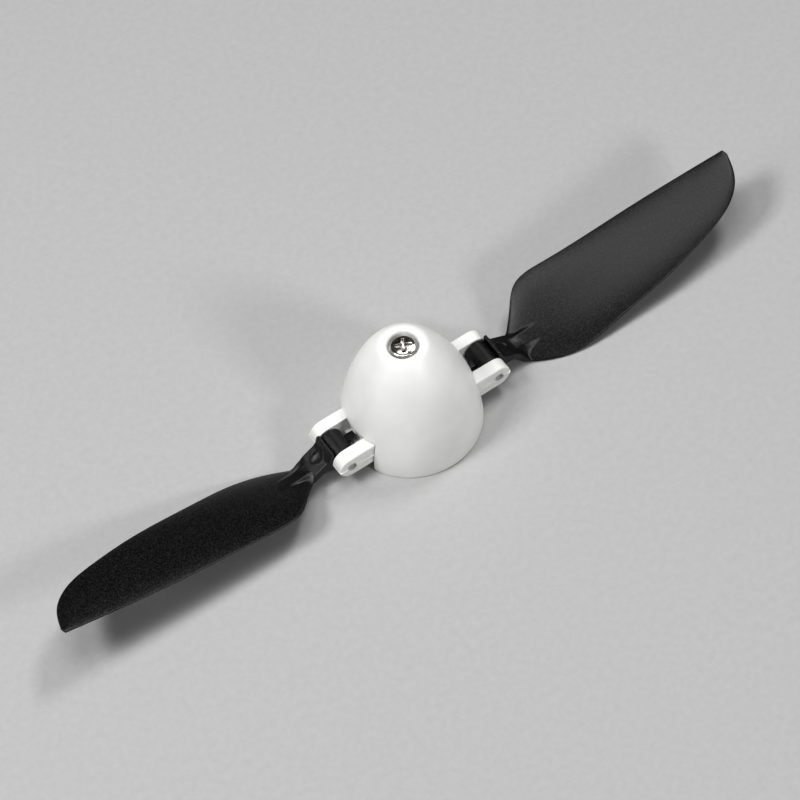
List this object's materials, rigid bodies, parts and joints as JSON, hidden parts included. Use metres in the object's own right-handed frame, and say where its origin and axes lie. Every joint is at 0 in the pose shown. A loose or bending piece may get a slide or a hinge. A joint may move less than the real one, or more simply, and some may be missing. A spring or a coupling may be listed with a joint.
{
  "type": "folding propeller",
  "caption": "Folding two-blade propeller on a forked hub with a white bullet spinner and nose screw; the blades fold back about cross pins.",
  "frame": {"origin": "on the shaft axis in the plane of the spinner's rim, which the part stands on", "axes": "+Z along the shaft towards the nose, X along the blades, Y along the hinge pins"},
  "size_m": [0.1288, 0.022, 0.02],
  "materials": {
    "spinner_white": "satin moulded",
    "hub_white": "satin moulded",
    "insert_brass": "turned",
    "screw_steel": "nickel plated",
    "pin_steel": "ground and cropped",
    "blade_black": "spark-eroded satin"
  },
  "bodies": {
    "hub": {"hub": "hub_white", "shaft_insert": "insert_brass", "spinner": "spinner_white", "spinner_screw": "screw_steel", "pin_1": "pin_steel", "pin_2": "pin_steel"},
    "blade_1": {"blade_1": "blade_black"},
    "blade_2": {"blade_2": "blade_black"}
  },
  "joints": [
    {"name": "blade_1_fold", "type": "hinge", "parent": "hub", "child": "blade_1", "pos_m": [0.0135, 0, 0.0041], "axis": [0, 1, 0], "range_deg": [-6, 95]},
    {"name": "blade_2_fold", "type": "hinge", "parent": "hub", "child": "blade_2", "pos_m": [-0.0135, 0, 0.0041], "axis": [0, -1, 0], "range_deg": [-6, 95]}
  ]
}
